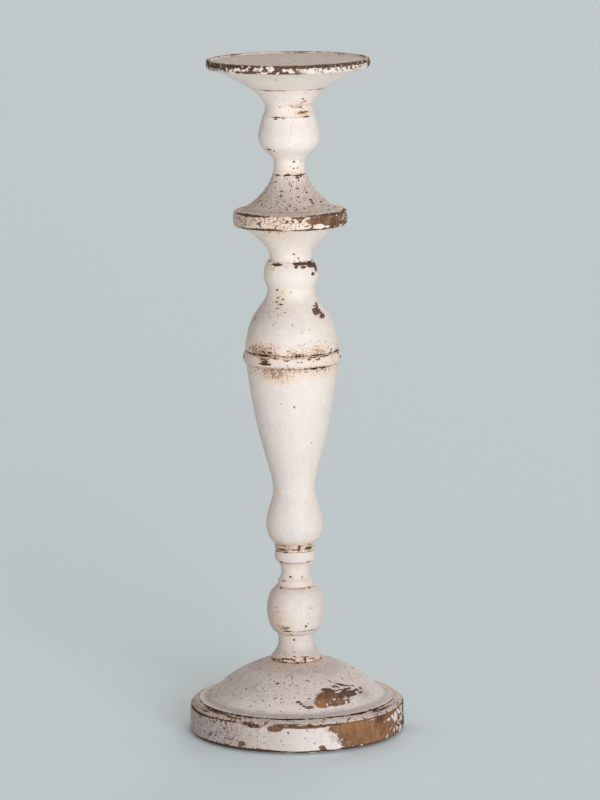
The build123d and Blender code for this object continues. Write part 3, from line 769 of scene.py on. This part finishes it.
def worn(skin, style):
    """The wear on one skin: each kind's value at each point of its grid."""
    ragged = fractal(skin.points, 2.6, 4)
    fine = fractal(skin.points, style.grain, 3, 5.1)
    other = fractal(skin.points, 1.9, 4, 91.3)
    patchy = fractal(skin.points, 13, 3, 31.7)
    flecks = fractal(skin.points * UPRIGHT, 0.9, 3, 71.9)
    kinds, tone = marked(skin, style)
    rough = kinds["rough"]
    # Up-facing surfaces get darker paint: partly dust, partly painted shade on the tops.
    facing_up = np.clip(skin.normal[:, 1:], 0, 1)
    stain = stained_places(skin, style, kinds, patchy, flecks)
    # Grime and painted shade: base grime, the grey marks (partly painted shade on left sides and in the
    # cove) and up-facing surfaces (partly painted top shade).
    grime_and_shade = style.grime_and_shade + style.dust * facing_up**1.5 + 0.6 * kinds["grey_dirt_and_shade"] + 0.15 * patchy + 0.3 * rough
    speck = np.maximum(style.specks, kinds["speck"]) + 0.25 * patchy + 0.2 * rough + 0.45 * stain
    return {
        "bare": np.clip(bare_places(skin, style, kinds, ragged, fine, other, patchy), -1, 1),
        "dark": np.clip(dark_places(skin, style, kinds, ragged, fine, patchy), 0, 1),
        "stain": np.clip(stain, 0, 1.4),
        "tone": np.clip(tone + 0.25 * patchy, 0, 1),
        "grime_and_shade": np.clip(grime_and_shade, 0, 1.2),
        "speck": np.clip(speck, 0, 1.2),
        "lilac": np.clip(style.lilac + 0.4 * patchy, 0, 1),
        "rough": rough,
    }


# Relief, in mm.
BROAD_WAVES = 0.11
BRUSH_WAVES = 0.05
TURNING_MARKS = 0.035
FINE_CRUST = 0.26
COARSE_CRUST = 0.22
CHIP_CURL = 0.09
PAINT_THICKNESS = 0.36
WOOD_GRAIN = 0.07
CRACK_DEPTH = 0.40


def lifted(skin, wear):
    """How far each point stands off the outline: brushed paint, chips, cracks and turning marks."""
    points = skin.points
    paint = BROAD_WAVES * fractal(points, 15, 2, 3.3) + BRUSH_WAVES * fractal(points, 3.6, 2, 8.8)
    turned = np.column_stack([np.zeros((len(skin.along), 2)), skin.along])
    tooling = TURNING_MARKS * fractal(turned, 1.4, 2, 44.4)[:, None]
    crust = FINE_CRUST * fractal(points, 1.7, 3, 12.9) + COARSE_CRUST * fractal(points, 5.0, 2, 61.3)
    gone = step_up(wear["bare"], -0.05, 0.09)
    curl = CHIP_CURL * np.exp(-(((wear["bare"] + 0.12) / 0.09) ** 2))
    sunk = gone * (PAINT_THICKNESS - WOOD_GRAIN * fractal(points * UPRIGHT, 0.9, 2, 23.1))
    return paint + tooling + wear["rough"] * crust + curl - sunk - CRACK_DEPTH * wear["dark"]


# The values that the material reads, and what they are on a piece's hidden part, which is bare wood.
HIDDEN = {"bare": 1.0, "dark": 0.0, "stain": 0.0, "tone": 0.5, "grime_and_shade": 0.0, "speck": 0.0, "lilac": 0.0}


# ---------------- materials
CREAM_WARM = (0.77, 0.705, 0.635)
CREAM_PINK = (0.745, 0.675, 0.65)
CREAM_LIGHT = (0.83, 0.775, 0.73)
CREAM_DULL = (0.62, 0.55, 0.49)
DIRT_AND_SHADE_BROWN = (0.41, 0.315, 0.265)
DIRT_AND_SHADE_LILAC = (0.50, 0.435, 0.445)
THIN_PAINT = (0.45, 0.34, 0.26)
STAIN_PALE = (0.80, 0.56, 0.40)
STAIN_DEEP = (0.34, 0.20, 0.11)
SPECK = (0.16, 0.10, 0.072)
CHIP_EDGE = (0.26, 0.165, 0.11)
CHIP_SHADE = (0.065, 0.036, 0.023)
RESIDUE = (0.62, 0.51, 0.42)
CRACK_AND_HOLLOW_SHADE = (0.048, 0.026, 0.016)
WOOD_BLACK = (0.034, 0.018, 0.010)
WOOD_BROWN = (0.135, 0.070, 0.042)
WOOD_TAN = (0.225, 0.103, 0.042)
WOOD_ORANGE = (0.325, 0.158, 0.070)
WOOD_PORE = (0.065, 0.032, 0.017)
DOWEL_DARK = (0.47, 0.29, 0.15)
DOWEL_PALE = (0.66, 0.46, 0.27)
STEEL_DARK = (0.20, 0.185, 0.165)
STEEL_PALE = (0.36, 0.345, 0.32)
RUST = (0.16, 0.065, 0.028)
FELT_DARK = (0.028, 0.020, 0.015)
FELT_PALE = (0.085, 0.062, 0.046)
LINT = (0.11, 0.085, 0.065)


class Graph:
    """A material's node tree, with short calls to add and join its nodes."""

    def __init__(self, name):
        self.material = bpy.data.materials.new(name)
        self.material.use_nodes = True
        self.tree = self.material.node_tree
        self.surface = self.tree.nodes["Principled BSDF"]
        coordinates = self.add("TexCoord", {}).outputs["Object"]
        self.place = self.scaled(coordinates, (1 / MM, 1 / MM, 1 / MM))
        self.plus = partial(self.math, "ADD")
        self.minus = partial(self.math, "SUBTRACT")
        self.times = partial(self.math, "MULTIPLY")
        self.larger = partial(self.math, "MAXIMUM")

    def put(self, socket, value):
        if isinstance(value, bpy.types.NodeSocket):
            self.tree.links.new(value, socket)
        else:
            socket.default_value = value

    def add(self, kind, inputs, **settings):
        """A new node of one kind, with its settings and its inputs."""
        node = self.tree.nodes.new("ShaderNode" + kind)
        for name, setting in settings.items():
            setattr(node, name, setting)
        for name, value in inputs.items():
            self.put(node.inputs[name], value)
        return node

    def scaled(self, vector, scale):
        return self.add("VectorMath", {0: vector, 1: scale}, operation="MULTIPLY").outputs[0]

    def noise(self, size, detail=3.0, rough=0.55, place=None):
        """Noise with lumps of about `size` mm, as a value round 0.5."""
        inputs = {"Vector": place or self.place, "Scale": 1 / size, "Detail": detail, "Roughness": rough}
        return self.add("TexNoise", inputs).outputs["Fac"]

    def math(self, operation, a, b):
        return self.add("Math", {0: a, 1: b}, operation=operation).outputs[0]

    def ramp(self, value, low, high, out_low=0.0, out_high=1.0):
        """A value taken smoothly from one range to another, and held at its ends."""
        inputs = {"Value": value, "From Min": low, "From Max": high, "To Min": out_low, "To Max": out_high}
        return self.add("MapRange", inputs, interpolation_type="SMOOTHSTEP").outputs["Result"]

    def mix(self, share, a, b):
        """One colour fading to another as the share goes from 0 to 1. Each is a tuple or a socket."""
        a, b = ((*colour, 1) if isinstance(colour, tuple) else colour for colour in (a, b))
        return self.add("Mix", {"Factor": share, "A": a, "B": b}, data_type="RGBA").outputs["Result"]

    def value(self, name):
        """A value kept on the mesh's points."""
        return self.add("Attribute", {}, attribute_name=name).outputs["Fac"]

    def dots(self, cell, share, density):
        """Dots of random places: cells of `cell` mm, each with a dot if its own number is under density."""
        cells = self.add("TexVoronoi", {"Vector": self.place, "Scale": 1 / cell})
        number = self.add("SeparateColor", {0: cells.outputs["Color"]})
        size = self.ramp(number.outputs[1], 0.0, 1.0, 0.4 * share, share)
        inside = self.ramp(self.minus(size, cells.outputs["Distance"]), 0.0, 0.06)
        return self.times(inside, self.ramp(self.minus(density, number.outputs[0]), 0.0, 0.02))

    def finished(self, colour, roughness, height, depth, strength):
        """The material with its colour, its roughness, and a bump of a depth in metres."""
        bump = self.add("Bump", {"Strength": strength, "Distance": depth, "Height": height})
        shader = {"Base Color": colour, "Roughness": roughness, "Normal": bump.outputs["Normal"]}
        for name, value in shader.items():
            self.put(self.surface.inputs[name], value)
        return self.material


def wood_colour(graph, tone):
    """Brown wood whose grain runs along the axis, from black-brown to orange-brown as tone grows."""
    streaks = graph.noise(1.1, 6, 0.6, graph.scaled(graph.place, (1, 1, 0.14)))
    pores = graph.noise(0.35, 2, 0.5, graph.scaled(graph.place, (1, 1, 0.08)))
    dark = graph.mix(graph.ramp(streaks, 0.35, 0.68), WOOD_BLACK, WOOD_BROWN)
    light = graph.mix(graph.ramp(streaks, 0.3, 0.7), WOOD_TAN, WOOD_ORANGE)
    wood = graph.mix(graph.ramp(tone, 0.0, 0.9), dark, light)
    wood = graph.mix(graph.ramp(pores, 0.62, 0.72, 0.0, 0.35), wood, WOOD_PORE)
    return wood, streaks


def paint_colour(graph, fine, patch):
    """The paint before it is chipped: warm and pink mottling, thin places, dirt and painted shade, stains
    and specks.
    """
    broad = graph.noise(24, 2)
    brushed = graph.noise(1.1, 3, 0.6, graph.scaled(graph.place, (0.16, 0.16, 1.5)))
    runs = graph.noise(2.2, 2, 0.5, graph.scaled(graph.place, (1, 1, 0.06)))
    cream = graph.mix(graph.ramp(broad, 0.38, 0.62), CREAM_WARM, CREAM_PINK)
    cream = graph.mix(graph.ramp(patch, 0.42, 0.66, 0.0, 0.45), cream, CREAM_LIGHT)
    cream = graph.mix(graph.ramp(runs, 0.52, 0.72, 0.0, 0.22), cream, CREAM_DULL)
    # Grime and painted shade darken the paint towards brown or lilac.
    grime_and_shade = graph.value("grime_and_shade")
    lilac = graph.plus(graph.value("lilac"), graph.ramp(patch, 0.3, 0.7, -0.25, 0.25))
    dirt_and_shade = graph.mix(lilac, DIRT_AND_SHADE_BROWN, DIRT_AND_SHADE_LILAC)
    cream = graph.mix(graph.times(grime_and_shade, graph.ramp(fine, 0.3, 0.65, 0.62, 0.95)), cream, dirt_and_shade)
    cream = graph.mix(graph.ramp(fine, 0.56, 0.74, 0.0, 0.30), cream, THIN_PAINT)
    scuffed = graph.plus(brushed, graph.times(graph.minus(patch, 0.5), 0.5))
    cream = graph.mix(graph.ramp(scuffed, 0.58, 0.76, 0.0, 0.24), cream, THIN_PAINT)
    # The stain value also holds painted brown shade in the hollow corners, and under the candle plate a
    # painted warm glow.
    wash = graph.times(graph.value("stain"), graph.ramp(fine, 0.30, 0.65, 0.35, 1.25))
    washed = graph.mix(graph.ramp(wash, 0.35, 1.25), STAIN_PALE, STAIN_DEEP)
    cream = graph.mix(graph.ramp(wash, 0.02, 1.0, 0.0, 0.88), cream, washed)
    speck = graph.value("speck")
    blots = graph.noise(0.9, 4, 0.7)
    blots = graph.ramp(graph.plus(blots, graph.times(speck, 0.085)), 0.695, 0.735)
    dust = graph.dots(1.45, 0.42, graph.times(graph.times(speck, speck), 0.42))
    cream = graph.mix(graph.times(dust, 0.62), cream, SPECK)
    cream = graph.mix(graph.times(blots, 0.78), cream, SPECK)
    return cream, brushed, graph.larger(dust, blots)


def chipped_paint():
    """Cream chalk paint, chipped down to the wood, with dark cracks at the joints and painted shade in the
    hollow corners.
    """
    graph = Graph("chipped_cream_paint")
    patch = graph.noise(5.5, 4, 0.6)
    fine = graph.noise(1.2, 4, 0.65)
    grit = graph.noise(0.5, 3, 0.7)
    jitter = graph.minus(grit, 0.5)
    paint, brushed, specks = paint_colour(graph, fine, patch)
    bare = graph.plus(graph.value("bare"), graph.times(jitter, 0.75))
    halo = graph.times(graph.ramp(bare, -0.40, -0.02, 0.0, 0.55), graph.ramp(fine, 0.35, 0.6))
    paint = graph.mix(halo, paint, CHIP_EDGE)
    wood, streaks = wood_colour(graph, graph.value("tone"))
    residue = graph.plus(grit, graph.times(patch, 0.4))
    wood = graph.mix(graph.ramp(residue, 0.80, 0.87, 0.0, 0.65), wood, RESIDUE)
    wood = graph.mix(graph.ramp(bare, 0.02, 0.40, 0.55, 0.0), wood, CHIP_SHADE)
    gone = graph.ramp(bare, -0.02, 0.06)
    colour = graph.mix(gone, paint, wood)
    # The dark value holds joints and cracks, and painted shade in the hollow corners; all take the crack
    # colour.
    crack = graph.plus(graph.value("dark"), graph.times(jitter, 1.1))
    scorch = graph.ramp(crack, 0.10, 0.50, 0.0, 0.60)
    colour = graph.mix(scorch, colour, CHIP_EDGE)
    crack = graph.ramp(crack, 0.38, 0.62)
    colour = graph.mix(graph.times(crack, 0.94), colour, CRACK_AND_HOLLOW_SHADE)
    shine = graph.ramp(fine, 0.3, 0.7, 0.52, 0.68)
    roughness = graph.ramp(graph.larger(gone, crack), 0.0, 1.0, shine, 0.80)
    graph.surface.inputs["Specular IOR Level"].default_value = 0.3
    coat = graph.plus(graph.times(fine, 0.5), graph.times(brushed, 0.5))
    coat = graph.minus(coat, graph.times(specks, 0.9))
    height = graph.ramp(gone, 0.0, 1.0, coat, graph.times(streaks, 0.9))
    return graph.finished(colour, roughness, height, 0.00018, 0.9)


def bare_hardwood():
    """Plain sanded dowel wood with fine grain along its length."""
    graph = Graph("dowel_hardwood")
    streaks = graph.noise(0.8, 5, 0.6, graph.scaled(graph.place, (1, 1, 0.10)))
    colour = graph.mix(graph.ramp(streaks, 0.3, 0.7), DOWEL_DARK, DOWEL_PALE)
    roughness = graph.ramp(streaks, 0.3, 0.7, 0.55, 0.7)
    return graph.finished(colour, roughness, streaks, 0.00015, 0.6)


def aged_steel():
    """Dull plated steel with darker spots and a little rust."""
    graph = Graph("aged_screw_steel")
    cloud = graph.noise(2.2, 4, 0.6)
    rust = graph.noise(0.9, 5, 0.65)
    colour = graph.mix(graph.ramp(cloud, 0.35, 0.65), STEEL_DARK, STEEL_PALE)
    colour = graph.mix(graph.ramp(rust, 0.56, 0.66, 0.0, 0.8), colour, RUST)
    graph.put(graph.surface.inputs["Metallic"], graph.ramp(rust, 0.56, 0.66, 0.95, 0.25))
    roughness = graph.ramp(cloud, 0.3, 0.7, 0.38, 0.62)
    return graph.finished(colour, roughness, rust, 0.0001, 0.6)


def pressed_felt():
    """Dark brown wool felt with matted fibres."""
    graph = Graph("pressed_wool_felt")
    fibres = graph.noise(0.7, 6, 0.7)
    lint = graph.noise(6, 3)
    colour = graph.mix(graph.ramp(fibres, 0.35, 0.65), FELT_DARK, FELT_PALE)
    colour = graph.mix(graph.ramp(lint, 0.5, 0.7, 0.0, 0.3), colour, LINT)
    graph.surface.inputs["Sheen Weight"].default_value = 0.4
    return graph.finished(colour, 0.95, fibres, 0.0004, 1.0)


# ---------------- build the pieces
paint = chipped_paint()
for node, style in STYLES.items():
    skin = Skin(node, style.spacing, style.columns)
    wear = worn(skin, style)
    values = {name: (wear[name], hidden) for name, hidden in HIDDEN.items()}
    piece = add_mesh(f"{node}_painted", skin, skin.placed(lifted(skin, wear)), values)
    piece.data.materials.append(paint)
    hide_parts(node)
    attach(piece, "root")

finishes = {"dowel_wood": bare_hardwood(), "screw_steel": aged_steel(), "felt": pressed_felt()}
for subpart in frame["record"]["subparts"]:
    if subpart["material_slot"] in finishes:
        materials = frame["nodes"][subpart["node"]].data.materials
        materials.clear()
        materials.append(finishes[subpart["material_slot"]])


# ---------------- floor, light and camera
FLOOR_SIDE = 80.0
FLOOR_COLOUR = (0.78, 0.90, 0.98, 1)
WORLD_COLOUR = (1.0, 0.94, 0.86, 1)
WORLD_STRENGTH = 0.46
CARD_HEIGHT = 0.02
CARD_SPREAD = 64
CAMERA_PLACE = (0, -2.5255, 0.6414)
CAMERA_LENS = 189
CAMERA_DOWN = 9.787
CAMERA_TURN = -0.10
CAMERA_ROLL = -0.80


def rotation(angle, axis):
    """A turn of so many degrees round one axis."""
    return Matrix.Rotation(math.radians(angle), 4, axis)


def add_floor():
    """A plain pale floor. From low down, its far edge shows against the warmer surroundings."""
    mesh = bpy.data.meshes.new("floor")
    corners = [(x * FLOOR_SIDE / 2, y * FLOOR_SIDE / 2, 0) for x, y in ((-1, -1), (1, -1), (1, 1), (-1, 1))]
    mesh.from_pydata(corners, [], [(0, 1, 2, 3)])
    graph = Graph("pale_floor")
    graph.surface.inputs["Base Color"].default_value = FLOOR_COLOUR
    graph.surface.inputs["Roughness"].default_value = 0.9
    mesh.materials.append(graph.material)
    floor = linked("floor", mesh)


def add_light(name, azimuth, elevation, width, strength, colour):
    """A soft light from far away: its direction and apparent width in degrees, and its watts per m2."""
    light = bpy.data.lights.new(name, "SUN")
    light.angle, light.energy, light.color = math.radians(width), strength, colour
    lamp = linked(name, light)
    lamp.matrix_world = rotation(azimuth, "Z") @ rotation(90 - elevation, "X")


def add_low_card(distance, tilt, size, power, colour):
    """A soft card low in front. It lights only the undersides, as its narrow beam stays off the floor."""
    light = bpy.data.lights.new("low_card", "AREA")
    light.shape, light.size, light.energy, light.color = "SQUARE", size, power, colour
    light.spread = math.radians(CARD_SPREAD)
    lamp = linked("low_card", light)
    lamp.matrix_world = Matrix.Translation((0, -distance, CARD_HEIGHT)) @ rotation(90 + tilt, "X")
    lamp.visible_camera = False


def add_camera():
    """The viewpoint: far away, a little above the object, looking slightly down."""
    camera = bpy.data.cameras.new("camera")
    camera.sensor_width, camera.lens = 36, CAMERA_LENS
    placed = linked("camera", camera)
    aim = rotation(CAMERA_TURN, "Z") @ rotation(90 - CAMERA_DOWN, "X")
    placed.matrix_world = Matrix.Translation(CAMERA_PLACE) @ aim @ rotation(CAMERA_ROLL, "Z")
    bpy.context.scene.camera = placed


def add_surroundings():
    """Even warm light from all round."""
    world = bpy.data.worlds.new("soft_surroundings")
    world.use_nodes = True
    background = world.node_tree.nodes["Background"]
    background.inputs["Color"].default_value = WORLD_COLOUR
    background.inputs["Strength"].default_value = WORLD_STRENGTH
    bpy.context.scene.world = world
    bpy.context.scene.view_settings.view_transform = "Standard"


add_floor()
add_light("key", azimuth=21, elevation=9, width=30, strength=2.42, colour=(0.985, 0.985, 1.0))
add_light("back", azimuth=165, elevation=16, width=40, strength=0.7, colour=(1.0, 0.97, 0.93))
add_low_card(distance=0.34, tilt=52, size=0.24, power=0.15, colour=(1.0, 0.95, 0.9))
add_camera()
add_surroundings()
